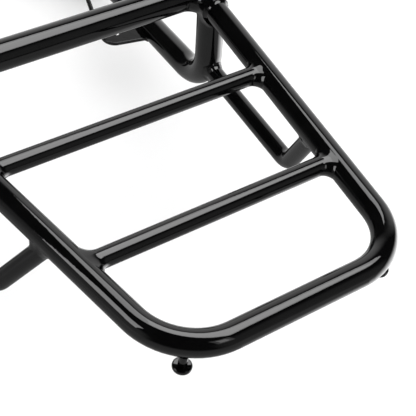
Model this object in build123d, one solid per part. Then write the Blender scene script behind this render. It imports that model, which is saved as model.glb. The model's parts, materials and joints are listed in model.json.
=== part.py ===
"""Folding luggage rack for a scooter: a tubular platform that folds up about two side brackets.

Millimetres, +Z up. +X is the rack's right, -Y the platform's free end, +Y the vehicle end.
The origin is the centre of the four mounting slots, on the underside of the foot pads.
The rack is drawn folded down, with its platform level.
"""
from build123d import *
from math import atan2, cos, radians, sin, tan
import os

# ---- driving dimensions -------------------------------------------------------------------
# Platform, measured back from the front tube's axis.
PLATFORM_Z = 142.0          # height of the platform tubes' axes
FRONT_Y = -552.0            # front tube's axis
FRONT_HALF_WIDTH = 80.7     # from the centre plane to a rail's axis, at the front tube
RAIL_FLARE = 0.1338         # how far each rail widens per millimetre towards the vehicle
REAR_TUBE_SETBACK = 253.2
SOCKET_SETBACK = 231.5      # where the rail goes into the rear tube's bent end
RAIL_END_SETBACK = 234.9    # the rail's own end, inside the rear tube
CROSS_BAR_SETBACKS = {"front": 79.0, "rear": 165.3}
FRONT_BEND_R = 41.0
REAR_BEND_R = 16.0

# Tube stock: outer diameter and wall.
LOOP_TUBE = (16.0, 1.5)
REAR_TUBE = (20.0, 2.0)
SIDE_TUBE = (19.0, 1.5)
BAR_TUBE = (12.0, 1.2)

# Side frames: each leans outwards below the rail.
SIDE_SPLAY = 0.122          # outwards per millimetre down
LEG_SETBACK = 237.5
LEG_TOP_DROP = 3.0          # below the platform's axis plane
ELBOW_DROP = 75.8
ELBOW_BEND_R = 40.0
BRACE_TOP_SETBACK = 102.3
BRACE_BEND_SETBACK = 126.0
BRACE_BEND_DROP = 48.5
BRACE_LEANS = {"right": 0.122, "left": 0.37}    # outwards per millimetre down, at the brace's bend
BRACE_BEND_R = 14.0
BRACE_FOOT_DROP = 55.5

# Hinge.
HINGE_X = 160.0
HINGE_Y = -65.0
HINGE_Z = 24.0
FOLD_ANGLE = 95.0
BARREL_D = 24.0
BARREL_LENGTH = 32.0
BUSH_D = 16.0
BUSH_FLANGE_D = 22.0
BUSH_FLANGE = 1.5
BUSH_LENGTH = 13.0          # of the part inside the barrel
PIVOT_D = 10.0
RUNNING_GAP = 0.05          # radial clearance between bush and pivot
SIDE_GAP = 0.3              # end play between a bush flange and an ear

# Brackets, bent from plate.
PLATE = 4.0
PAD_THICKNESS = 3.0
PAD_INSET = 1.0             # of the rubber from the bracket's outline
FOOT_FRONT_Y = -115.0
FOOT_REAR_Y = 26.0
FOOT_CORNER_R = 9.0
CHANNEL_BEND_R = 6.0
PIVOT_EAR_R = 16.0
BAR_EAR_R = 12.0
EAR_FOOT_R = 7.0            # rounding of an ear where it meets the foot
EAR_HEEL = 12.0             # from the tie bar back to the heel's rounding
EAR_BLANK = 60.0            # height above the hinge before the ears are cut to shape
SLOT_SPACING_Y = 24.0
SLOT_WIDTH = 8.5
SLOT_LENGTH = 14.0

# Tie bar between the brackets, which also stops the folded rack.
TIE_BAR = (14.0, 1.5)
STOP_SLEEVE_D = 20.0
STOP_REACH = 20.0           # along the folded arm, from the hinge to where it meets the sleeve
STOP_GAP = 0.35
SLEEVE_END_GAP = 0.3        # between the sleeve and an ear
TIE_BAR_SHOW = 1.0          # how far the tie bar stands out of the outer ears
PLUG = (9.0, 2.5, 1.2)      # depth in the bar, cap thickness, cap rounding

# Rubber buffer that the lowered arm rests on.
BUFFER_SETBACK = 447.0
BUFFER_D = 18.0
BUFFER_STEM_D = 8.0
BUFFER_HOLLOW = 30.0        # half the length of the hollow cut for the arm
REST_GAP = 0.3

# Torsion spring.
WIRE_D = 3.5
COIL_R = 10.0
COIL_PITCH = 3.6
COIL_TURNS = 3
COIL_START_X = 125.4
SPRING_TIP_X = 107.3
SPRING_TIP_SETBACK = 335.0
CRANK_FRONT = (108.7, -186.0, 42.2)
CRANK_REAR = (125.4, -141.9, 39.6)
HOOK_LENGTH = 6.0
LEG_BENDS_R = (3.0, 12.0, 12.0, 12.0)       # at the hook, the two cranks and the coil
LEAD_IN = 14.0              # straight run into the coil
WIRE_GAP = 0.05             # between the leg and the tab above it
TANG_OFFSET = 3.0           # from the coil's end to the short end's corner
TANG_BEND_R = 2.5
TANG_GAP = 0.5              # between the short end and the ear's inner face
TANG_HOLE_SLACK = 0.6
SPACER_D = 14.0
SPACER_END_X = 122.0

# Spring tab on each arm.
TAB_THICKNESS = 3.0
EDGE_R = 0.6                # rounding of plate edges
TAB_Z = 48.0
TAB_END_R = 10.0
TAB_END_X = 105.2
TAB_END_LEAD = 2.0          # how far the round end's centre sits ahead of the root's middle
TAB_ROOT_HALF = 18.0
TAB_ROOT_DEPTH = 4.0        # how deep the tab's root is drawn into the arm before coping
TAB_HOLE_D = 8.0

# Strap studs under the front corners.
STUD_ANGLE = 37.0           # round the front bend from the front tube
STUD_RADIAL = 43.0          # from the bend's centre
STUD_NECK_D = 5.3
STUD_HEAD_D = 11.2
STUD_HEAD_H = 4.0
STUD_DOME_R = 2.4           # rounding under the head
STUD_RIM_R = 0.9            # rounding above it
STUD_HEAD_Z = 124.0         # middle of the head

# Fasteners.
WASHER = (18.0, 1.5)        # diameter, thickness
BOLT_HEAD = (17.0, 6.0)
BOLT_HEAD_ROUNDING = 3.0
BOLT_TIP_CHAMFER = 1.0
BOLT_SOCKET = (6.0, 3.5)    # width across flats, depth
NUT_FLATS = 16.0
NUT_CORNERS = 18.4
NUT_CHAMFER = 1.0
NUT_HEIGHT = 8.0
NUT_COLLAR = (14.0, 2.5)
BOLT_HOLE_SLACK = 0.2
THREAD_SHOW = 2.0

OVERCUT = 1.0               # how far a cutting shape runs past what it cuts

EAR_INNER = BARREL_LENGTH / 2 + BUSH_FLANGE + SIDE_GAP      # from a bracket's centre to an ear
EAR_OUTER = EAR_INNER + PLATE
WEB_TOP = PAD_THICKNESS + PLATE


# ---- places -------------------------------------------------------------------------------
def at_setback(setback):
    """The Y of a place measured back from the front tube's axis."""
    return FRONT_Y + setback


def rail_x(setback):
    """Half the distance between the rails' axes at a setback."""
    return FRONT_HALF_WIDTH + RAIL_FLARE * setback


def on_side_frame(setback, drop):
    """A point of the right side frame's leaning plane, at a drop below the rail's axis."""
    return Vector(rail_x(setback) + SIDE_SPLAY * drop, at_setback(setback), PLATFORM_Z - drop)


def hinge_point():
    """The middle of the right hinge."""
    return Vector(HINGE_X, HINGE_Y, HINGE_Z)


def elbow_point():
    """The corner of the right side tube, before it is bent."""
    return on_side_frame(LEG_SETBACK, ELBOW_DROP)


def arm_point(setback):
    """A point on the axis of the right side tube's straight arm."""
    elbow = elbow_point()
    share = (at_setback(setback) - elbow.Y) / (HINGE_Y - elbow.Y)
    return elbow + (hinge_point() - elbow) * share


def tie_bar_place():
    """Y and Z of the tie bar: just behind the arm once it is folded up."""
    arm = elbow_point() - hinge_point()
    folded = atan2(arm.Z, -arm.Y) + radians(FOLD_ANGLE)
    reach = (-cos(folded), sin(folded))
    back = (sin(folded), cos(folded))
    half_arm = SIDE_TUBE[0] / 2 * arm.length / (arm.Y**2 + arm.Z**2) ** 0.5
    offset = half_arm + STOP_SLEEVE_D / 2 + STOP_GAP
    return (
        HINGE_Y + STOP_REACH * reach[0] + offset * back[0],
        HINGE_Z + STOP_REACH * reach[1] + offset * back[1],
    )


# ---- building blocks ----------------------------------------------------------------------
def swept(path, diameter):
    """A round bar along a path."""
    section = Plane(origin=path @ 0, z_dir=path % 0) * Circle(diameter / 2)
    return sweep(section, path=path)


def pipe(path, stock):
    """A tube of the given stock along a path."""
    outer, wall = stock
    return swept(path, outer) - swept(path, outer - 2 * wall)


def rod_between(start, end, diameter):
    """A straight round bar between two points."""
    axis = Vector(end) - Vector(start)
    place = Plane(origin=start, z_dir=axis)
    return extrude(place * Circle(diameter / 2), amount=axis.length)


def along_x(x_low, x_high, y, z, diameter):
    """A round bar parallel to X."""
    return rod_between((x_low, y, z), (x_high, y, z), diameter)


def ring_along_x(x_low, x_high, y, z, outer, inner):
    """A plain ring or sleeve parallel to X."""
    return along_x(x_low, x_high, y, z, outer) - along_x(x_low, x_high, y, z, inner)


def upright(x, y, z_low, z_high, diameter):
    """A round bar parallel to Z."""
    return rod_between((x, y, z_low), (x, y, z_high), diameter)


def write(name, *solids):
    """One node: its solids are saved together."""
    shape = solids[0] if len(solids) == 1 else Compound(children=list(solids))
    export_step(shape, f"parts/{name}.step")


def write_both(name, *solids):
    """A node for each side, from the right side's solids."""
    write(f"{name}_right", *solids)
    write(f"{name}_left", *[mirror(solid, about=Plane.YZ) for solid in solids])


# ---- platform -----------------------------------------------------------------------------
def loop_path():
    """Rails and front tube: one U, its open ends inside the rear tube."""
    end = RAIL_END_SETBACK
    corners = [(rail_x(end), end), (rail_x(0), 0), (-rail_x(0), 0), (-rail_x(end), end)]
    points = [(x, at_setback(setback), PLATFORM_Z) for x, setback in corners]
    return FilletPolyline(*points, radius=(FRONT_BEND_R, FRONT_BEND_R))


def rear_path():
    """Rear tube: a shallow U whose bent ends take the rails."""
    start, corner = SOCKET_SETBACK, REAR_TUBE_SETBACK
    corners = [(rail_x(start), start), (rail_x(corner), corner), (-rail_x(corner), corner), (-rail_x(start), start)]
    points = [(x, at_setback(setback), PLATFORM_Z) for x, setback in corners]
    return FilletPolyline(*points, radius=(REAR_BEND_R, REAR_BEND_R))


def cross_bar(setback, loop_solid):
    """A bar between the rails, its ends coped to them."""
    reach = rail_x(setback)
    ends = [(-reach, at_setback(setback), PLATFORM_Z), (reach, at_setback(setback), PLATFORM_Z)]
    outer, wall = BAR_TUBE
    bar = rod_between(*ends, outer) - rod_between(*ends, outer - 2 * wall)
    return bar - loop_solid


def strap_stud(loop_solid):
    """Mushroom-headed stud under the right front corner."""
    half_turn = (radians(90) - atan2(RAIL_FLARE, 1)) / 2
    bend_centre_x = rail_x(0) - FRONT_BEND_R * tan(half_turn)
    x = bend_centre_x + STUD_RADIAL * sin(radians(STUD_ANGLE))
    y = FRONT_Y + FRONT_BEND_R - STUD_RADIAL * cos(radians(STUD_ANGLE))
    low = STUD_HEAD_Z - STUD_HEAD_H / 2
    head = upright(x, y, low, low + STUD_HEAD_H, STUD_HEAD_D)
    rims = head.edges().filter_by(GeomType.CIRCLE).sort_by(Axis.Z)
    head = fillet(rims[0], STUD_DOME_R)
    head = fillet(head.edges().filter_by(GeomType.CIRCLE).sort_by(Axis.Z)[-1], STUD_RIM_R)
    neck = upright(x, y, low + STUD_HEAD_H / 2, PLATFORM_Z, STUD_NECK_D)
    return head + (neck - loop_solid)


# ---- side frames --------------------------------------------------------------------------
def side_path():
    """Leg, elbow and arm of the right side tube."""
    return FilletPolyline(
        on_side_frame(LEG_SETBACK, LEG_TOP_DROP), elbow_point(), hinge_point(), radius=(ELBOW_BEND_R,)
    )


def brace_path(lean):
    """A brace drawn on the right side, from the rail's axis to the leg's axis, its bend leaning outwards."""
    bend_x = rail_x(BRACE_BEND_SETBACK) + lean * BRACE_BEND_DROP
    return FilletPolyline(
        on_side_frame(BRACE_TOP_SETBACK, 0),
        Vector(bend_x, at_setback(BRACE_BEND_SETBACK), PLATFORM_Z - BRACE_BEND_DROP),
        on_side_frame(LEG_SETBACK, BRACE_FOOT_DROP),
        radius=(BRACE_BEND_R,),
    )


def spring_tab(side_solid):
    """Flat tab with a round end, welded to the arm's inner side, which the spring pushes up."""
    y = at_setback(SPRING_TIP_SETBACK)
    root_x = arm_point(SPRING_TIP_SETBACK).X
    end = Pos(TAB_END_X, y - TAB_END_LEAD) * Circle(TAB_END_R)
    root = Pos(root_x, y) * Rectangle(TAB_ROOT_DEPTH, 2 * TAB_ROOT_HALF)
    outline = make_hull(end.edges() + root.edges())
    hole = Pos(SPRING_TIP_X, y) * Circle(TAB_HOLE_D / 2)
    low = Plane.XY.offset(TAB_Z - TAB_THICKNESS / 2)
    tab = extrude(low * outline, amount=TAB_THICKNESS)
    tab = fillet(tab.edges().filter_by(Plane.XY), EDGE_R) - extrude(low * hole, amount=TAB_THICKNESS)
    return tab - side_solid


def hinge_barrel():
    """Turned barrel welded across the arm's end."""
    half = BARREL_LENGTH / 2
    return ring_along_x(HINGE_X - half, HINGE_X + half, HINGE_Y, HINGE_Z, BARREL_D, BUSH_D)


def bush(direction):
    """Flanged bush pressed into one end of the barrel; direction is towards its flange."""
    bore = PIVOT_D + 2 * RUNNING_GAP
    face = HINGE_X + direction * BARREL_LENGTH / 2
    inner_end = face - direction * BUSH_LENGTH
    sleeve = along_x(*sorted((inner_end, face)), HINGE_Y, HINGE_Z, BUSH_D)
    flange = along_x(*sorted((face, face + direction * BUSH_FLANGE)), HINGE_Y, HINGE_Z, BUSH_FLANGE_D)
    hole = along_x(HINGE_X - EAR_OUTER, HINGE_X + EAR_OUTER, HINGE_Y, HINGE_Z, bore)
    return sleeve + flange - hole


def coil_path():
    """The coil's axis, from the top of the hinge round to the top again."""
    coil = Helix(COIL_PITCH, COIL_PITCH * COIL_TURNS, COIL_R, lefthand=True)
    return Plane(origin=(COIL_START_X, HINGE_Y, HINGE_Z), x_dir=(0, 0, 1), z_dir=(1, 0, 0)).location * coil


def tang_corner():
    """The corner where the wire leaves the coil and turns into the inner ear."""
    coil = coil_path()
    return coil @ 1 + coil % 1 * TANG_OFFSET


def torsion_spring():
    """One wire: hooked through the tab, cranked outwards, round the hinge and into the inner ear."""
    under_tab = TAB_Z - TAB_THICKNESS / 2 - WIRE_D / 2 - WIRE_GAP
    hook = Vector(SPRING_TIP_X, at_setback(SPRING_TIP_SETBACK), under_tab)
    hook_top = hook + Vector(0, 0, HOOK_LENGTH)
    coil = coil_path()
    lead_in = coil @ 0 - coil % 0 * LEAD_IN
    leg = FilletPolyline(hook_top, hook, CRANK_FRONT, CRANK_REAR, lead_in, coil @ 0, radius=LEG_BENDS_R)
    corner = tang_corner()
    tang_end = Vector(HINGE_X - EAR_INNER - TANG_GAP, corner.Y, corner.Z)
    tang = FilletPolyline(coil @ 1, corner, tang_end, radius=(TANG_BEND_R,))
    return swept(Wire([*leg.edges(), *coil.edges(), *tang.edges()]), WIRE_D)


# ---- brackets -----------------------------------------------------------------------------
def bracket():
    """Channel bent from plate: a foot with two slots and two ears for the hinge."""
    bar_y, bar_z = tie_bar_place()
    length = FOOT_REAR_Y - FOOT_FRONT_Y
    middle_y = (FOOT_REAR_Y + FOOT_FRONT_Y) / 2
    top = HINGE_Z + EAR_BLANK
    channel = Pos(HINGE_X, middle_y, (PAD_THICKNESS + top) / 2) * Box(2 * EAR_OUTER, length, top - PAD_THICKNESS)
    low_edges = channel.edges().filter_by(Axis.Y).sort_by(Axis.Z)[:2]
    channel = fillet(low_edges, CHANNEL_BEND_R)
    inside = Pos(HINGE_X, middle_y, (WEB_TOP + top) / 2) * Box(2 * EAR_INNER, length, top - WEB_TOP)
    inside = fillet(inside.edges().filter_by(Axis.Y).sort_by(Axis.Z)[:2], CHANNEL_BEND_R - PLATE)
    channel = channel - inside

    circles = [
        Pos(HINGE_Y, HINGE_Z) * Circle(PIVOT_EAR_R),
        Pos(bar_y, bar_z) * Circle(BAR_EAR_R),
        Pos(FOOT_FRONT_Y + EAR_FOOT_R, PAD_THICKNESS + EAR_FOOT_R) * Circle(EAR_FOOT_R),
        Pos(bar_y + EAR_HEEL, PAD_THICKNESS + EAR_FOOT_R) * Circle(EAR_FOOT_R),
    ]
    edges = [edge for circle in circles for edge in circle.edges()]
    foot = Pos(middle_y, PAD_THICKNESS + PLATE / 2) * Rectangle(length, PLATE)
    side_outline = make_hull(edges) + foot
    sides = extrude(Plane.YZ.offset(HINGE_X - EAR_OUTER) * side_outline, amount=2 * EAR_OUTER)
    plan = Pos(HINGE_X, middle_y) * RectangleRounded(2 * EAR_OUTER, length, FOOT_CORNER_R)
    body = rounded_outline(channel & sides & extrude(plan, amount=top))

    ears = (HINGE_X - EAR_OUTER - OVERCUT, HINGE_X + EAR_OUTER + OVERCUT)
    body = body - along_x(*ears, HINGE_Y, HINGE_Z, PIVOT_D + BOLT_HOLE_SLACK)
    body = body - along_x(*ears, bar_y, bar_z, TIE_BAR[0])
    inner_ear = (HINGE_X - EAR_OUTER - OVERCUT, HINGE_X - EAR_INNER)
    corner = tang_corner()
    body = body - along_x(*inner_ear, corner.Y, corner.Z, WIRE_D + TANG_HOLE_SLACK)
    buffer = arm_point(BUFFER_SETBACK)
    body = body - upright(buffer.X, buffer.Y, 0, WEB_TOP + OVERCUT, BUFFER_STEM_D)
    return body - extrude(mounting_slots(), amount=WEB_TOP)


def rounded_outline(body):
    """The bracket with the edges of its ears' upper outline rounded."""
    for x in (HINGE_X - EAR_OUTER, HINGE_X + EAR_OUTER):
        near = body.edges().filter_by_position(Axis.X, x - EDGE_R / 2, x + EDGE_R / 2)
        upper = [edge for edge in near if edge.bounding_box().min.Z > WEB_TOP + CHANNEL_BEND_R]
        body = fillet(upper, EDGE_R)
    return body


def mounting_slots():
    """Outlines of a bracket's two slots, which run across the vehicle."""
    slot = SlotOverall(SLOT_LENGTH, SLOT_WIDTH)
    rows = [Pos(HINGE_X, side * SLOT_SPACING_Y / 2) * slot for side in (-1, 1)]
    return rows[0] + rows[1]


def foot_pad():
    """Rubber pad under a bracket."""
    length = FOOT_REAR_Y - FOOT_FRONT_Y
    outline = Pos(HINGE_X, (FOOT_REAR_Y + FOOT_FRONT_Y) / 2) * RectangleRounded(
        2 * (EAR_OUTER - PAD_INSET), length - 2 * PAD_INSET, FOOT_CORNER_R - PAD_INSET
    )
    return extrude(outline - mounting_slots(), amount=PAD_THICKNESS)


def buffer():
    """Rubber buffer pushed into the bracket, its top hollowed to the arm."""
    place = arm_point(BUFFER_SETBACK)
    head = upright(place.X, place.Y, WEB_TOP, place.Z, BUFFER_D)
    stem = upright(place.X, place.Y, PAD_THICKNESS, WEB_TOP, BUFFER_STEM_D)
    ends = [arm_point(BUFFER_SETBACK + side * BUFFER_HOLLOW) for side in (-1, 1)]
    room = rod_between(*ends, SIDE_TUBE[0] + 2 * REST_GAP)
    return (head + stem) - room


def tie_bar():
    """Tube through all four ears, welded to them."""
    y, z = tie_bar_place()
    reach = HINGE_X + EAR_OUTER + TIE_BAR_SHOW
    return ring_along_x(-reach, reach, y, z, TIE_BAR[0], TIE_BAR[0] - 2 * TIE_BAR[1])


def tie_bar_plug():
    """Plastic plug in the tie bar's open end."""
    y, z = tie_bar_place()
    end = HINGE_X + EAR_OUTER + TIE_BAR_SHOW
    depth, cap_thickness, rounding = PLUG
    stem = along_x(end - depth, end, y, z, TIE_BAR[0] - 2 * TIE_BAR[1])
    cap = along_x(end, end + cap_thickness, y, z, TIE_BAR[0])
    return stem + fillet(cap.edges().sort_by(Axis.X)[-1], rounding)


def stop_sleeve():
    """Rubber sleeve on the tie bar, which the folded arm leans on."""
    y, z = tie_bar_place()
    reach = EAR_INNER - SLEEVE_END_GAP
    return ring_along_x(HINGE_X - reach, HINGE_X + reach, y, z, STOP_SLEEVE_D, TIE_BAR[0])


# ---- pivot hardware -----------------------------------------------------------------------
def washer_x():
    """Inner faces of the two washers: outside the outer ear, and past the coil spacer."""
    return HINGE_X + EAR_OUTER, SPACER_END_X - WASHER[1]


def pivot_bolt():
    """Button-head bolt with a hexagon socket, from the outside."""
    outer, inner = washer_x()
    head_x = outer + WASHER[1]
    head = along_x(head_x, head_x + BOLT_HEAD[1], HINGE_Y, HINGE_Z, BOLT_HEAD[0])
    head = fillet(head.edges().sort_by(Axis.X)[-1], BOLT_HEAD_ROUNDING)
    place = Plane(origin=(head_x + BOLT_HEAD[1], HINGE_Y, HINGE_Z), z_dir=(-1, 0, 0))
    socket = extrude(place * RegularPolygon(BOLT_SOCKET[0] / 2, 6, major_radius=False), amount=BOLT_SOCKET[1])
    tip = inner - NUT_HEIGHT - NUT_COLLAR[1] - THREAD_SHOW
    shank = along_x(tip, head_x, HINGE_Y, HINGE_Z, PIVOT_D)
    shank = chamfer(shank.edges().sort_by(Axis.X)[0], BOLT_TIP_CHAMFER)
    return (head - socket) + shank


def pivot_washers():
    """The washer under the bolt's head and the one under its nut."""
    return [
        ring_along_x(x, x + WASHER[1], HINGE_Y, HINGE_Z, WASHER[0], PIVOT_D + BOLT_HOLE_SLACK)
        for x in washer_x()
    ]


def lock_nut():
    """Hexagon nut, its corners turned down, with a round locking collar."""
    face = washer_x()[1]
    place = Plane(origin=(face, HINGE_Y, HINGE_Z), z_dir=(-1, 0, 0))
    hexagon = extrude(place * RegularPolygon(NUT_FLATS / 2, 6, major_radius=False), amount=NUT_HEIGHT)
    turned = along_x(face - NUT_HEIGHT, face, HINGE_Y, HINGE_Z, NUT_CORNERS)
    hexagon = hexagon & chamfer(turned.edges().filter_by(GeomType.CIRCLE), NUT_CHAMFER)
    collar = along_x(face - NUT_HEIGHT - NUT_COLLAR[1], face - NUT_HEIGHT, HINGE_Y, HINGE_Z, NUT_COLLAR[0])
    collar = fillet(collar.edges().sort_by(Axis.X)[0], NUT_CHAMFER)
    hole = along_x(face - NUT_HEIGHT - NUT_COLLAR[1] - OVERCUT, face + OVERCUT, HINGE_Y, HINGE_Z, PIVOT_D)
    return (hexagon + collar) - hole


def coil_spacer():
    """Sleeve on the pivot that carries the coil."""
    return ring_along_x(SPACER_END_X, HINGE_X - EAR_OUTER, HINGE_Y, HINGE_Z, SPACER_D, PIVOT_D + BOLT_HOLE_SLACK)


# ---- the whole rack -----------------------------------------------------------------------
def build():
    """Write every node."""
    os.makedirs("parts", exist_ok=True)

    loop_solid = swept(loop_path(), LOOP_TUBE[0])
    rear_solid = swept(rear_path(), REAR_TUBE[0])
    side_solid = swept(side_path(), SIDE_TUBE[0])
    half_barrel = BARREL_LENGTH / 2
    barrel_solid = along_x(HINGE_X - half_barrel, HINGE_X + half_barrel, HINGE_Y, HINGE_Z, BARREL_D)

    write("loop_tube", pipe(loop_path(), LOOP_TUBE))
    write("rear_tube", pipe(rear_path(), REAR_TUBE))
    for name, setback in CROSS_BAR_SETBACKS.items():
        write(f"cross_bar_{name}", cross_bar(setback, loop_solid))
    write_both("strap_stud", strap_stud(loop_solid))

    write_both("side_tube", pipe(side_path(), SIDE_TUBE) - loop_solid - rear_solid - barrel_solid)
    for name, lean in BRACE_LEANS.items():
        brace = pipe(brace_path(lean), BAR_TUBE) - loop_solid - side_solid
        write(f"brace_{name}", brace if name == "right" else mirror(brace, about=Plane.YZ))
    write_both("spring_tab", spring_tab(side_solid))
    write_both("hinge_barrel", hinge_barrel())
    write_both("hinge_bushes", bush(1), bush(-1))
    write_both("torsion_spring", torsion_spring())

    write_both("bracket", bracket())
    write_both("foot_pad", foot_pad())
    write_both("buffer", buffer())
    write("tie_bar", tie_bar())
    write_both("tie_bar_plug", tie_bar_plug())
    write_both("stop_sleeve", stop_sleeve())
    write_both("pivot_bolt", pivot_bolt())
    write_both("pivot_washers", *pivot_washers())
    write_both("lock_nut", lock_nut())
    write_both("coil_spacer", coil_spacer())


build()
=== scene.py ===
"""Folding luggage rack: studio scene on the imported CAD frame. Metres, +Z up."""
import bmesh
import bpy
import json
from math import cos, pi, radians, sin, sqrt
from mathutils import Matrix, Vector


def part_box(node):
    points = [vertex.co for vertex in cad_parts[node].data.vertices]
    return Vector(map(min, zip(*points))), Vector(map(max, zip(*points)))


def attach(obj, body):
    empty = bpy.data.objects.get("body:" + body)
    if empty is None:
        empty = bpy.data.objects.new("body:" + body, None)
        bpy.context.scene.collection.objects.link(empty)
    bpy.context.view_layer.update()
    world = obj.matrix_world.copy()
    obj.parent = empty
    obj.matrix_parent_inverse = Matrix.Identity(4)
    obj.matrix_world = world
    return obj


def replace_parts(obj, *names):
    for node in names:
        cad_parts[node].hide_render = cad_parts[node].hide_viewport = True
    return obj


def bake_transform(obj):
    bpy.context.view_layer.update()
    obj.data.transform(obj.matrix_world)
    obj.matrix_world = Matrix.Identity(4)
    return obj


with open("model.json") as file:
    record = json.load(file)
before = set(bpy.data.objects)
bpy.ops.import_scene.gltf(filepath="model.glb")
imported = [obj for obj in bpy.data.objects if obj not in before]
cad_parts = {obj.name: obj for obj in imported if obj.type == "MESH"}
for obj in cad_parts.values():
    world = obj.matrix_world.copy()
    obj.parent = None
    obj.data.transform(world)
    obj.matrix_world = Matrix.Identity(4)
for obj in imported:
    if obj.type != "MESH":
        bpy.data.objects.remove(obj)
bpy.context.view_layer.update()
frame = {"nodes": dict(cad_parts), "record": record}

# ---- camera -------------------------------------------------------------------------------
CAMERA_AT = Vector((-0.3706, -0.8518, 0.6765))
CAMERA_AZIMUTH = 43.96      # degrees to the right of +Y
CAMERA_DOWN = 45.19
CAMERA_ROLL = 11.46
CAMERA_LENS = 113.2         # mm, on a 36 mm sensor
CAMERA_NEAR = 0.01

# ---- studio: directions are degrees right of +Y and degrees up, as seen from the rack ---------
RACK_CENTRE = Vector((0, -0.43, 0.14))
ROOM_LEVEL = 1.38           # what lights the rack and shows behind it
ROOM_DARK = 0.025           # what the paint reflects where there is no patch
FLOOR_HALF_SIZE = 60.0
FLOOR_GAP = 0.0005          # below the rubber pads
# azimuth, elevation, inner angle, outer angle, level
REFLECTED_ROOM = (
    (0, -90, 70, 88, 0.36),         # floor
    (98, -28, 8, 36, 2.7),          # brightly lit floor behind
    (48, 7, 25, 41, 0.92),          # back panel
    (150, 12, 14, 38, 0.20),        # pale wall behind the camera
    (-82, 4, 8, 30, 0.3),           # left wall, under its softbox
)
DOWN = Vector((0, 0, -1))
# name, offset from the rack, facing (None faces the rack), size, turn about the facing, radiance
SOFTBOXES = (
    ("key", Vector((0.57, 0.20, 1.40)), DOWN, (1.10, 1.58), 32, 4.4),
    ("key_core", Vector((0.56, 0.08, 1.38)), DOWN, (0.80, 1.05), 32, 1.6),
    ("left", Vector((-1.22, 0.23, 0.76)), None, (0.60, 0.66), 0, 4.6),
    ("right", Vector((0.20, -1.16, 0.92)), None, (0.46, 0.70), 0, 0.8),
    ("right_core", Vector((0.19, -1.10, 0.88)), None, (0.22, 0.40), 0, 1.8),
)

# ---- dimensions that the welds and springs follow, as in the CAD ------------------------------
SIDES = {"right": 1, "left": -1}

# platform and side frames: a setback runs back from the front tube's axis, a drop down from the rails'
PLATFORM_Z = 0.142
FRONT_Y = -0.552
FRONT_HALF_WIDTH = 0.0807
RAIL_FLARE = 0.1338         # outwards, per metre of setback
SOCKET_SETBACK = 0.2315
CROSS_BAR_SETBACKS = (0.079, 0.1653)
SIDE_SPLAY = 0.122          # outwards, per metre of drop
LEG_SETBACK = 0.2375
ELBOW_DROP = 0.0758
BRACE_TOP_SETBACK = 0.1023
BRACE_BEND_SETBACK = 0.126
BRACE_BEND_DROP = 0.0485
BRACE_LEANS = {"right": 0.122, "left": 0.37}    # outwards, per metre of drop
BRACE_FOOT_DROP = 0.0555
FRONT_BEND_R = 0.041
STUD_NECK_R = 0.00265
LOOP_R = 0.008
REAR_R = 0.010
SIDE_R = 0.0095
BAR_R = 0.006

# right hinge, and how far an ear's inner and outer faces are from the middle of its bracket
HINGE = Vector((0.160, -0.065, 0.024))
BARREL_R = 0.012
EAR_INNER = 0.0178
EAR_OUTER = 0.0218

# right torsion spring: hook, cranked leg, coil round the pivot, and the tang that enters the ear
WIRE_R = 0.00175
COIL_R = 0.010
COIL_PITCH = 0.0036
COIL_TURNS = 3
COIL_STEPS = 84
COIL_START_X = 0.1254
SPRING_TIP = Vector((0.1073, -0.217, 0.0447))
CRANK_FRONT = Vector((0.1087, -0.186, 0.0422))
CRANK_REAR = Vector((0.1254, -0.1419, 0.0396))
HOOK_LENGTH = 0.006
LEG_BEND_R = 0.010
LEAD_IN = 0.014
TANG_OFFSET = 0.003
TANG_BEND_R = 0.0025
TANG_GAP = 0.0005

# spring tab: the heights of its faces, and where its root starts and ends along Y
TAB_Z = (0.0465, 0.0495)
TAB_ROOT = (-0.2345, -0.1995)

# ---- weld beads -------------------------------------------------------------------------------
# reach up the tube, rise out on the host as a share of it, pull of the middle up the tube and out
SIDE_FRAME_BEAD = (0.0036, 0.75, 0.32, 0.32)
CROSS_BAR_BEAD = (0.0075, 0.65, 0.25, 0.0)
BARREL_BEAD = (0.0020, 0.75, 0.32, 0.32)
STUD_BEAD = (0.0016, 0.75, 0.32, 0.32)
WIDTH_RIPPLE = 0.12         # shares of the bead that its ripple moves
PULL_RIPPLE = 0.3
RIPPLES_PER_RADIUS = 1500   # ripples round a joint, per metre of the tube's radius
WANDER = 97                 # phase per metre of the joint's place, so that no two beads are alike
WELD_ROOT = 0.0005          # how deep a bead's hidden edge lies

# beads in a flat face's corner: reach up the tube, rise out on the face
SOCKET_CLEARANCE = 0.0001
SOCKET_BEAD = (0.0028, REAR_R - LOOP_R - SOCKET_CLEARANCE)
TIE_BAR_INNER_BEAD = (0.0022, 0.0022)
TIE_BAR_OUTER_BEAD = (0.0009, 0.0020)
RING_PULL = 0.30
RING_PULL_RIPPLE = 0.04
RING_REACH_RIPPLE = 0.05

# beads along the spring tabs
TAB_BEAD = 0.0030
TAB_BEAD_TIP = 0.25         # share of its size that a bead starts and stops with
TAB_BEAD_TAPER = 0.25       # share of its length that it takes to reach full size
TAB_BEAD_RIPPLE = 0.14
TAB_BEAD_STEP_ANGLE = 0.9   # the ripple's phase from one step to the next
TAB_BEAD_PHASE = 31
TAB_PULL = 0.36
TAB_PULL_RIPPLE = 0.1

# ---- fineness of the meshes -------------------------------------------------------------------
WELD_STEPS = 72             # round a joint
TAB_BEAD_STEPS = 36
PROFILE_STEPS = 7
WIRE_SIDES = 14
WIRE_END = ((0.0, 0.55), (0.35, 0.85), (0.8, 0.98))     # depth and size of the rounded end, in radii
ROUNDING_STEPS = 8
ROUNDING_LIMIT = 0.45       # share of the shorter side that a rounding may take
RIM_ANGLE = radians(60)     # a bead's own rim is sharper than this, its face is not


def rail_x(setback):
    """Half the distance between the rails' axes."""
    return FRONT_HALF_WIDTH + RAIL_FLARE * setback


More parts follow.
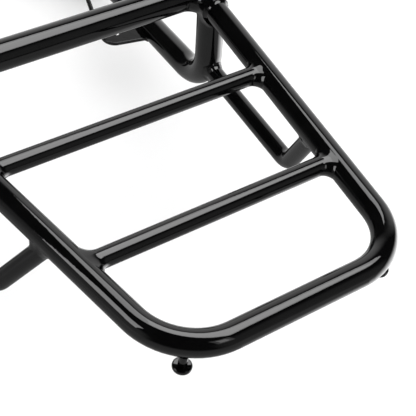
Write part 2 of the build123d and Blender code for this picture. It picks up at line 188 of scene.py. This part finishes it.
def on_side_frame(side, setback, drop):
    """A point of a side frame's leaning plane."""
    x = rail_x(setback) + SIDE_SPLAY * drop
    return Vector((side * x, FRONT_Y + setback, PLATFORM_Z - drop))


def mirrored(side, point):
    """A right-hand point, carried to the asked side."""
    return Vector((side * point.x, point.y, point.z))


# ---- material nodes: noise scales are features per metre, bump heights are metres -------------
NOISE_RANGE = (0.3, 0.7)    # where nearly all of a noise pattern lies


def new_material(name):
    """A new material, its node tree, its Principled shader and its object coordinates."""
    material = bpy.data.materials.new(name)
    material.use_nodes = True
    tree = material.node_tree
    shader = tree.nodes["Principled BSDF"]
    coordinates = tree.nodes.new("ShaderNodeTexCoord").outputs["Object"]
    return material, tree, shader, coordinates


def noise(tree, coordinates, scale, detail=3.0, stretch=(1, 1, 1)):
    """Noise of a given number of features per metre, from 0 to 1."""
    mapping = tree.nodes.new("ShaderNodeMapping")
    mapping.inputs["Scale"].default_value = stretch
    tree.links.new(coordinates, mapping.inputs["Vector"])
    texture = tree.nodes.new("ShaderNodeTexNoise")
    texture.inputs["Scale"].default_value = scale
    texture.inputs["Detail"].default_value = detail
    tree.links.new(mapping.outputs["Vector"], texture.inputs["Vector"])
    return texture.outputs["Fac"]


def ramp(tree, factor, low, high, low_colour, high_colour):
    """Blends two colours as factor goes from low to high."""
    node = tree.nodes.new("ShaderNodeValToRGB")
    node.color_ramp.elements[0].position = low
    node.color_ramp.elements[1].position = high
    node.color_ramp.elements[0].color = (*low_colour, 1)
    node.color_ramp.elements[1].color = (*high_colour, 1)
    tree.links.new(factor, node.inputs["Fac"])
    return node.outputs["Color"]


def remap(tree, factor, low, high, to_low, to_high):
    """Maps factor from one range onto another."""
    node = tree.nodes.new("ShaderNodeMapRange")
    node.inputs["From Min"].default_value = low
    node.inputs["From Max"].default_value = high
    node.inputs["To Min"].default_value = to_low
    node.inputs["To Max"].default_value = to_high
    tree.links.new(factor, node.inputs["Value"])
    return node.outputs["Result"]


def mix(tree, factor, first, second):
    """Mixes two colours by a factor."""
    node = tree.nodes.new("ShaderNodeMix")
    node.data_type = "RGBA"
    tree.links.new(factor, node.inputs["Factor"])
    tree.links.new(first, node.inputs["A"])
    tree.links.new(second, node.inputs["B"])
    return node.outputs["Result"]


def bump(tree, shader, pattern, height):
    """Bumps the shader's normal by a pattern of the given height."""
    node = tree.nodes.new("ShaderNodeBump")
    node.inputs["Distance"].default_value = height
    tree.links.new(pattern, node.inputs["Height"])
    tree.links.new(node.outputs["Normal"], shader.inputs["Normal"])


def set_tone(tree, shader, pattern, low, high, dark, pale):
    """Colours the shader from dark to pale as the pattern goes from low to high."""
    tree.links.new(ramp(tree, pattern, low, high, dark, pale), shader.inputs["Base Color"])


def set_roughness(tree, shader, pattern, smooth, rough):
    """Varies the shader's roughness with the middle range of a noise pattern."""
    tree.links.new(remap(tree, pattern, *NOISE_RANGE, smooth, rough), shader.inputs["Roughness"])


def gloss_paint():
    """Gloss black enamel: deep, with faint orange peel and a few specks of dust."""
    material, tree, shader, place = new_material("gloss_paint")
    black, pale_black = (0.0006, 0.0006, 0.0007), (0.0014, 0.0014, 0.0015)
    tone = ramp(tree, noise(tree, place, 60), 0.35, 0.65, black, pale_black)
    specks = ramp(tree, noise(tree, place, 1600, 1.0), 0.79, 0.82, (0, 0, 0), (1, 1, 1))
    dust = ramp(tree, noise(tree, place, 25), 0.0, 1.0, (0.006, 0.006, 0.006), (0.012, 0.012, 0.011))
    tree.links.new(mix(tree, specks, tone, dust), shader.inputs["Base Color"])
    set_roughness(tree, shader, noise(tree, place, 90), 0.025, 0.055)
    bump(tree, shader, noise(tree, place, 140, 2.0), 0.00004)
    return material


def satin_paint():
    """Satin black powder coat for the plate brackets: finely pebbled."""
    material, tree, shader, place = new_material("satin_paint")
    dark, pale = (0.006, 0.006, 0.0065), (0.011, 0.011, 0.0115)
    set_tone(tree, shader, noise(tree, place, 45), *NOISE_RANGE, dark, pale)
    set_roughness(tree, shader, noise(tree, place, 70), 0.26, 0.38)
    bump(tree, shader, noise(tree, place, 1300, 2.0), 0.00005)
    return material


def zinc_plate():
    """Bright zinc on the fasteners, with a faint blue and straw bloom and turning marks."""
    material, tree, shader, place = new_material("zinc_plate")
    shader.inputs["Metallic"].default_value = 1.0
    blue, straw = (0.50, 0.52, 0.55), (0.62, 0.60, 0.55)
    set_tone(tree, shader, noise(tree, place, 110), *NOISE_RANGE, blue, straw)
    set_roughness(tree, shader, noise(tree, place, 300), 0.24, 0.4)
    bump(tree, shader, noise(tree, place, 900, 2.0, (1, 0.15, 0.15)), 0.00003)
    return material


def spring_steel():
    """Blackened, oiled spring wire with drawing marks."""
    material, tree, shader, place = new_material("spring_steel")
    shader.inputs["Metallic"].default_value = 0.6
    dark, pale = (0.010, 0.010, 0.011), (0.024, 0.023, 0.022)
    set_tone(tree, shader, noise(tree, place, 180), 0.35, 0.65, dark, pale)
    set_roughness(tree, shader, noise(tree, place, 240), 0.22, 0.36)
    bump(tree, shader, noise(tree, place, 1500, 2.0, (1, 0.1, 1)), 0.00003)
    return material


def bush_bronze():
    """Sintered bronze: brown, porous, slightly oily."""
    material, tree, shader, place = new_material("bush_bronze")
    shader.inputs["Metallic"].default_value = 0.9
    dark, pale = (0.28, 0.17, 0.08), (0.42, 0.27, 0.13)
    set_tone(tree, shader, noise(tree, place, 500), 0.35, 0.65, dark, pale)
    set_roughness(tree, shader, noise(tree, place, 900), 0.3, 0.5)
    bump(tree, shader, noise(tree, place, 2200, 2.0), 0.00004)
    return material


def rubber():
    """Moulded black rubber with a fine matt grain and a little bloom."""
    material, tree, shader, place = new_material("rubber")
    dark, pale = (0.010, 0.010, 0.010), (0.021, 0.021, 0.020)
    set_tone(tree, shader, noise(tree, place, 120), *NOISE_RANGE, dark, pale)
    set_roughness(tree, shader, noise(tree, place, 400), 0.6, 0.8)
    bump(tree, shader, noise(tree, place, 1800, 3.0), 0.00008)
    return material


def moulded_plastic():
    """Black moulded plastic with a spark-eroded grain."""
    material, tree, shader, place = new_material("moulded_plastic")
    dark, pale = (0.008, 0.008, 0.009), (0.014, 0.014, 0.015)
    set_tone(tree, shader, noise(tree, place, 90), *NOISE_RANGE, dark, pale)
    set_roughness(tree, shader, noise(tree, place, 260), 0.4, 0.55)
    bump(tree, shader, noise(tree, place, 2600, 1.0), 0.00005)
    return material


def floor_paper():
    """Pale paper sweep."""
    material, tree, shader, place = new_material("floor_paper")
    dull, pale = (0.90, 0.90, 0.90), (0.92, 0.92, 0.92)
    set_tone(tree, shader, noise(tree, place, 8), *NOISE_RANGE, dull, pale)
    shader.inputs["Roughness"].default_value = 0.9
    shader.inputs["Specular IOR Level"].default_value = 0.0
    return material


FINISHES = {
    "frame_paint": gloss_paint(),
    "bracket_paint": satin_paint(),
    "zinc": zinc_plate(),
    "spring_steel": spring_steel(),
    "bush_bronze": bush_bronze(),
    "rubber": rubber(),
    "plug_plastic": moulded_plastic(),
}


def finish_cad_nodes():
    """Each CAD node gets its slot's material."""
    slots = {part["node"]: part["material_slot"] for part in frame["record"]["subparts"]}
    for name, node in frame["nodes"].items():
        node.data.materials.clear()
        node.data.materials.append(FINISHES[slots[name]])


# ---- mesh building --------------------------------------------------------------------------
def new_piece(name, mesh, slot):
    """Turns a bmesh into a smooth-shaded piece with its slot's material."""
    bmesh.ops.recalc_face_normals(mesh, faces=mesh.faces)
    data = bpy.data.meshes.new(name)
    mesh.to_mesh(data)
    mesh.free()
    for polygon in data.polygons:
        polygon.use_smooth = True
    data.set_sharp_from_angle(angle=RIM_ANGLE)
    piece = bpy.data.objects.new(name, data)
    bpy.context.collection.objects.link(piece)
    data.materials.append(FINISHES[slot])
    return piece


def finish_piece(name, mesh, body, slot):
    """A new piece that rides on a body."""
    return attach(new_piece(name, mesh, slot), body)


def skin(mesh, profiles, closed):
    """Joins a run of equal, closed profiles with faces."""
    rings = [[mesh.verts.new(point) for point in profile] for profile in profiles]
    spans = len(rings) if closed else len(rings) - 1
    count = len(rings[0])
    for i in range(spans):
        here, there = rings[i], rings[(i + 1) % len(rings)]
        for j in range(count):
            k = (j + 1) % count
            mesh.faces.new((here[j], here[k], there[k], there[j]))
    if not closed:
        mesh.faces.new(rings[0])
        mesh.faces.new(list(reversed(rings[-1])))


def across(axis):
    """Two unit vectors square to an axis."""
    first = axis.orthogonal().normalized()
    return first, axis.cross(first).normalized()


def curve_point(start, middle, end, t):
    """A point of the curve that leaves start towards middle and arrives at end from there."""
    return start * (1 - t) ** 2 + middle * 2 * t * (1 - t) + end * t**2


def weld_profile(corner, start, end, fill, lift):
    """A fillet weld's section from start, on the tube, to end, on its host, hollow between.

    fill and lift pull its middle up the tube and out on the host; a lift of 0 flows into the tube.
    """
    middle = corner + (start - corner) * fill + (end - corner) * lift
    points = [curve_point(start, middle, end, i / PROFILE_STEPS) for i in range(PROFILE_STEPS + 1)]
    points.append(corner + (corner - (start + end) / 2).normalized() * WELD_ROOT)
    return points


def ripple(angle, beads, phase):
    """The weld pool's rhythm and wander round a joint, from -1 to 1."""
    return 0.35 * sin(beads * angle) + 0.4 * sin(3 * angle + phase) + 0.25 * sin(5 * angle + 2 * phase)


def joint_ripple(angle, radius, point):
    """The ripple at an angle round a tube's joint."""
    return ripple(angle, round(radius * RIPPLES_PER_RADIUS), WANDER * (point.x + point.y))


def from_axis(point, axis_point, axis):
    """The way from an axis straight out to a point."""
    gap = point - axis_point
    return gap - axis * gap.dot(axis)


def onto_tube(point, tube):
    """The point moved straight in or out until it lies on a tube's surface."""
    axis_point, axis, radius = tube
    out = from_axis(point, axis_point, axis)
    return point - out + out.normalized() * radius


def first_hit(start, direction, tube):
    """Where a line from start first meets a tube's surface."""
    axis_point, axis, radius = tube
    flat = from_axis(start, axis_point, axis)
    run = direction - axis * direction.dot(axis)
    a, b, c = run.dot(run), flat.dot(run), flat.dot(flat) - radius**2
    return start + direction * ((-b - sqrt(max(b * b - a * c, 0))) / a)


def turned_to(vector, other):
    """The vector, turned round if it points away from the other."""
    return vector if vector.dot(other) > 0 else -vector


def saddle_weld(mesh, tube, host, bead):
    """The weld where a tube meets the side of its host, each given by a point, a direction and a radius."""
    point, axis, radius = tube
    axis = axis.normalized()
    tube = (point, axis, radius)
    u, v = across(axis)
    angles = [2 * pi * i / WELD_STEPS for i in range(WELD_STEPS)]
    corners = [first_hit(point + (u * cos(a) + v * sin(a)) * radius, axis, host) for a in angles]
    reach, rise, fill, lift = bead
    profiles = []
    for i, (angle, corner) in enumerate(zip(angles, corners)):
        tangent = corners[(i + 1) % WELD_STEPS] - corners[i - 1]
        own = from_axis(corner, point, axis)
        along = turned_to(own.cross(tangent), -axis).normalized()
        out = turned_to(from_axis(corner, *host[:2]).cross(tangent), own).normalized()
        wave = joint_ripple(angle, radius, point)
        width = reach * (1 + WIDTH_RIPPLE * wave)
        pull = 1 + PULL_RIPPLE * wave
        start = onto_tube(corner + along * width, tube)
        end = onto_tube(corner + out * rise * width, host)
        profiles.append(weld_profile(corner, start, end, fill * pull, lift * pull))
    skin(mesh, profiles, True)


def ring_weld(mesh, centre, axis, radius, bead):
    """The weld round a tube where it passes into a flat face; axis points away from the face."""
    reach, rise = bead
    u, v = across(axis)
    profiles = []
    for i in range(WELD_STEPS):
        angle = 2 * pi * i / WELD_STEPS
        out = u * cos(angle) + v * sin(angle)
        corner = centre + out * radius
        wave = joint_ripple(angle, radius, centre)
        pull = RING_PULL + RING_PULL_RIPPLE * wave
        start = corner + axis * reach * (1 + RING_REACH_RIPPLE * wave)
        profiles.append(weld_profile(corner, start, corner + out * rise, pull, pull))
    skin(mesh, profiles, True)


def rail_axis(side):
    """Direction of a rail, towards the vehicle."""
    return Vector((side * RAIL_FLARE, 1, 0)).normalized()


def platform_welds():
    """Cross bars to rails, and rails to the rear tube's bent ends."""
    mesh = bmesh.new()
    for side in SIDES.values():
        rail = (on_side_frame(side, 0, 0), rail_axis(side), LOOP_R)
        for setback in CROSS_BAR_SETBACKS:
            middle = Vector((0, FRONT_Y + setback, PLATFORM_Z))
            saddle_weld(mesh, (middle, Vector((side, 0, 0)), BAR_R), rail, CROSS_BAR_BEAD)
        socket = on_side_frame(side, SOCKET_SETBACK, 0)
        ring_weld(mesh, socket, -rail_axis(side), LOOP_R, SOCKET_BEAD)
    return finish_piece("welds_platform", mesh, "rack", "frame_paint")


def side_frame_welds():
    """Legs to the rear tube, braces to rail and leg, arms to hinge barrels."""
    mesh = bmesh.new()
    for name, side in SIDES.items():
        elbow = on_side_frame(side, LEG_SETBACK, ELBOW_DROP)
        leg_top = on_side_frame(side, LEG_SETBACK, 0)
        leg = (elbow, (leg_top - elbow).normalized(), SIDE_R)
        saddle_weld(mesh, leg, (leg_top, rail_axis(side), REAR_R), SIDE_FRAME_BEAD)
        bend = on_side_frame(side, BRACE_BEND_SETBACK, BRACE_BEND_DROP)
        bend.x = side * (rail_x(BRACE_BEND_SETBACK) + BRACE_LEANS[name] * BRACE_BEND_DROP)
        top = on_side_frame(side, BRACE_TOP_SETBACK, 0)
        foot = on_side_frame(side, LEG_SETBACK, BRACE_FOOT_DROP)
        saddle_weld(mesh, (bend, top - bend, BAR_R), (top, rail_axis(side), LOOP_R), SIDE_FRAME_BEAD)
        saddle_weld(mesh, (bend, foot - bend, BAR_R), leg, SIDE_FRAME_BEAD)
        hinge = mirrored(side, HINGE)
        barrel = (hinge, Vector((1, 0, 0)), BARREL_R)
        saddle_weld(mesh, (elbow, hinge - elbow, SIDE_R), barrel, BARREL_BEAD)
    return finish_piece("welds_side_frames", mesh, "rack", "frame_paint")


def bracket_welds():
    """The tie bar to the ears it passes through."""
    low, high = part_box("tie_bar")
    centre = (low + high) / 2
    radius = (high.z - low.z) / 2
    mesh = bmesh.new()
    for side in SIDES.values():
        for away, bead in ((-1, TIE_BAR_INNER_BEAD), (1, TIE_BAR_OUTER_BEAD)):
            face = Vector((side * (HINGE.x + away * EAR_OUTER), centre.y, centre.z))
            ring_weld(mesh, face, Vector((side * away, 0, 0)), radius, bead)
    return finish_piece("welds_tie_bar", mesh, "base", "bracket_paint")


def tab_bead(side, arm, face, up):
    """The sections of a bead between an arm's inner side and one face of its tab, tapered at both ends."""
    away = Vector((-side, 0, 0))
    first, last = TAB_ROOT
    profiles = []
    for i in range(TAB_BEAD_STEPS):
        y = first + (last - first) * i / (TAB_BEAD_STEPS - 1)
        corner = first_hit(Vector((0, y, face)), -away, arm)
        to_end = min(i, TAB_BEAD_STEPS - 1 - i) / TAB_BEAD_STEPS
        wave = ripple(TAB_BEAD_STEP_ANGLE * i, 1, TAB_BEAD_PHASE * up)
        size = TAB_BEAD * min(1, to_end / TAB_BEAD_TAPER + TAB_BEAD_TIP) * (1 + TAB_BEAD_RIPPLE * wave)
        pull = TAB_PULL + TAB_PULL_RIPPLE * wave
        end = corner + Vector((0, 0, up * size))
        profiles.append(weld_profile(corner, corner + away * size, end, pull, pull))
    return profiles


def tab_welds():
    """A bead above and below each spring tab, along the arm's inner side."""
    mesh = bmesh.new()
    for side in SIDES.values():
        elbow = on_side_frame(side, LEG_SETBACK, ELBOW_DROP)
        arm = (elbow, (mirrored(side, HINGE) - elbow).normalized(), SIDE_R)
        for face, up in zip(TAB_Z, (-1, 1)):
            skin(mesh, tab_bead(side, arm, face, up), False)
    return finish_piece("welds_spring_tabs", mesh, "rack", "frame_paint")


def stud_welds():
    """The bead round each strap stud's neck, under the front corner."""
    mesh = bmesh.new()
    for name, side in SIDES.items():
        low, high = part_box(f"strap_stud_{name}")
        foot = Vector(((low.x + high.x) / 2, (low.y + high.y) / 2, low.z))
        bend = corner_bend(side)
        spoke = Vector((foot.x - bend.x, foot.y - bend.y, 0)).normalized()
        around = Vector((-spoke.y, spoke.x, 0))
        host = (bend + spoke * FRONT_BEND_R, around, LOOP_R)
        saddle_weld(mesh, (foot, Vector((0, 0, 1)), STUD_NECK_R), host, STUD_BEAD)
    return finish_piece("welds_strap_studs", mesh, "rack", "frame_paint")


def corner_bend(side):
    """The centre that a front corner of the loop is bent about."""
    lean = abs(rail_axis(side).x)
    inset = FRONT_BEND_R * (1 - lean) / sqrt(1 - lean**2)
    return Vector((side * (FRONT_HALF_WIDTH - inset), FRONT_Y + FRONT_BEND_R, PLATFORM_Z))


# ---- springs --------------------------------------------------------------------------------
def rounded_route(points, radius):
    """A route with its corners rounded off."""
    route = [points[0]]
    for before, corner, after in zip(points, points[1:], points[2:]):
        first, second = (before - corner).normalized(), (after - corner).normalized()
        cosine = first.dot(second)
        shorter = min((before - corner).length, (after - corner).length)
        reach = min(radius * sqrt((1 + cosine) / (1 - cosine)), ROUNDING_LIMIT * shorter)
        start, end = corner + first * reach, corner + second * reach
        for i in range(ROUNDING_STEPS + 1):
            route.append(curve_point(start, corner, end, i / ROUNDING_STEPS))
    return route + [points[-1]]


def wire(mesh, route, radius):
    """Round wire along a route, with rounded-off ends."""
    tangents = [(b - a).normalized() for a, b in zip(route, route[1:])]
    tangents.append(tangents[-1])
    side = tangents[0].orthogonal().normalized()
    angles = [2 * pi * k / WIRE_SIDES for k in range(WIRE_SIDES)]
    profiles = []
    for i, (point, tangent) in enumerate(zip(route, tangents)):
        side = (side - tangent * side.dot(tangent)).normalized()
        up = tangent.cross(side)
        stations = [(point, radius)]
        if i == 0:
            stations = [(point + tangent * radius * depth, radius * share) for depth, share in WIRE_END]
        if i == len(route) - 1:
            stations = [(point - tangent * radius * depth, radius * share) for depth, share in WIRE_END[::-1]]
        for centre, size in stations:
            profiles.append([centre + (side * cos(a) + up * sin(a)) * size for a in angles])
    skin(mesh, profiles, False)


def coil_point(turns):
    """A point of the coil's axis, so many turns from the top where the leg runs in."""
    angle = 2 * pi * turns
    start = Vector((COIL_START_X, HINGE.y, HINGE.z))
    return start + Vector((COIL_PITCH * turns, COIL_R * sin(angle), COIL_R * cos(angle)))


def coil_end_direction():
    """The direction of the coil's wire at either end, where it passes the top."""
    return Vector((COIL_PITCH, 2 * pi * COIL_R, 0)).normalized()


def spring_piece(name, side):
    """The whole spring as one wire: a hooked, cranked leg along the rack, a coil round the pivot, and a tang
    into the bracket's ear.
    """
    coil = [coil_point(COIL_TURNS * i / COIL_STEPS) for i in range(COIL_STEPS + 1)]
    hook_top = SPRING_TIP + Vector((0, 0, HOOK_LENGTH))
    lead_in = coil[0] - coil_end_direction() * LEAD_IN
    leg = rounded_route([hook_top, SPRING_TIP, CRANK_FRONT, CRANK_REAR, lead_in, coil[0]], LEG_BEND_R)
    corner = coil[-1] + coil_end_direction() * TANG_OFFSET
    tang_end = Vector((HINGE.x - EAR_INNER - TANG_GAP, corner.y, corner.z))
    tang = rounded_route([coil[-1], corner, tang_end], TANG_BEND_R)
    mesh = bmesh.new()
    wire(mesh, [mirrored(side, point) for point in leg[:-1] + coil[:-1] + tang], WIRE_R)
    piece = new_piece(f"spring_{name}", mesh, "spring_steel")
    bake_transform(piece)
    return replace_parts(piece, f"torsion_spring_{name}")


# ---- stage ----------------------------------------------------------------------------------
def build_floor():
    """A plain pale floor under the pads."""
    mesh = bmesh.new()
    bmesh.ops.create_grid(mesh, x_segments=2, y_segments=2, size=FLOOR_HALF_SIZE)
    data = bpy.data.meshes.new("floor")
    mesh.to_mesh(data)
    mesh.free()
    floor = bpy.data.objects.new("floor", data)
    floor.location = (0, 0, -FLOOR_GAP)
    floor.visible_glossy = False
    data.materials.append(floor_paper())
    bpy.context.collection.objects.link(floor)


def softbox(name, offset, facing, size, turn, radiance):
    """A rectangular light that only shows as a reflection. It faces the rack unless told otherwise."""
    data = bpy.data.lights.new(name, "AREA")
    data.shape = "RECTANGLE"
    data.size, data.size_y = size
    data.energy = radiance * pi * size[0] * size[1]
    light = bpy.data.objects.new(name, data)
    aim = (facing or -offset).to_track_quat("-Z", "Y").to_matrix()
    light.rotation_euler = (aim @ Matrix.Rotation(radians(turn), 3, "Z")).to_euler()
    light.location = RACK_CENTRE + offset
    light.visible_camera = False
    light.visible_diffuse = False
    bpy.context.collection.objects.link(light)


def towards(azimuth, elevation):
    """Unit vector for an azimuth right of +Y and an elevation."""
    a, e = radians(azimuth), radians(elevation)
    return Vector((sin(a) * cos(e), cos(a) * cos(e), sin(e)))


def glow(tree, direction, azimuth, elevation, inner, outer, level):
    """A soft round patch of the reflected room: level inside the inner angle, nothing past the outer."""
    dot = tree.nodes.new("ShaderNodeVectorMath")
    dot.operation = "DOT_PRODUCT"
    tree.links.new(direction, dot.inputs[0])
    dot.inputs[1].default_value = towards(azimuth, elevation)
    fade = tree.nodes.new("ShaderNodeMapRange")
    fade.interpolation_type = "SMOOTHSTEP"
    fade.inputs["From Min"].default_value = cos(radians(outer))
    fade.inputs["From Max"].default_value = cos(radians(inner))
    fade.inputs["To Max"].default_value = level
    tree.links.new(dot.outputs["Value"], fade.inputs["Value"])
    return fade.outputs["Result"]


def calculate(tree, operation, first, second):
    """One sum or product of two sockets or numbers."""
    node = tree.nodes.new("ShaderNodeMath")
    node.operation = operation
    for socket, value in zip(node.inputs, (first, second)):
        if isinstance(value, (int, float)):
            socket.default_value = value
        else:
            tree.links.new(value, socket)
    return node.outputs["Value"]


def build_world():
    """An even white room, which in reflections is a dark studio with a few pale surfaces."""
    world = bpy.data.worlds.new("studio")
    world.use_nodes = True
    world.cycles.sampling_method = "NONE"
    tree = world.node_tree
    direction = tree.nodes.new("ShaderNodeTexCoord").outputs["Generated"]
    reflected = ROOM_DARK
    for patch in REFLECTED_ROOM:
        reflected = calculate(tree, "ADD", reflected, glow(tree, direction, *patch))
    ray = tree.nodes.new("ShaderNodeLightPath").outputs["Is Glossy Ray"]
    strength = tree.nodes.new("ShaderNodeMix")
    tree.links.new(ray, strength.inputs["Factor"])
    strength.inputs["A"].default_value = ROOM_LEVEL
    tree.links.new(reflected, strength.inputs["B"])
    tree.links.new(strength.outputs["Result"], tree.nodes["Background"].inputs["Strength"])
    tree.nodes["Background"].inputs["Color"].default_value = (1, 1, 1, 1)
    bpy.context.scene.world = world
    bpy.context.scene.view_settings.view_transform = "Standard"


def build_lights():
    """Softboxes, each placed by the direction that the gloss paint shows it in."""
    for name, *values in SOFTBOXES:
        softbox(name, *values)


def build_camera():
    """The camera, looking down across the platform's near front corner."""
    data = bpy.data.cameras.new("camera")
    data.lens = CAMERA_LENS
    data.clip_start = CAMERA_NEAR
    azimuth, down, roll = (radians(a) for a in (CAMERA_AZIMUTH, CAMERA_DOWN, CAMERA_ROLL))
    forward = Vector((sin(azimuth) * cos(down), cos(azimuth) * cos(down), -sin(down)))
    level = Vector((cos(azimuth), -sin(azimuth), 0))
    right = level * cos(roll) + level.cross(forward) * sin(roll)
    up = right.cross(forward)
    turn = Matrix((right, up, -forward)).transposed()
    camera = bpy.data.objects.new("camera", data)
    camera.matrix_world = Matrix.Translation(CAMERA_AT) @ turn.to_4x4()
    bpy.context.collection.objects.link(camera)
    bpy.context.scene.camera = camera


build_camera()
build_floor()
build_world()
build_lights()
finish_cad_nodes()
platform_welds()
side_frame_welds()
tab_welds()
stud_welds()
bracket_welds()
for name, side in SIDES.items():
    spring_piece(name, side)
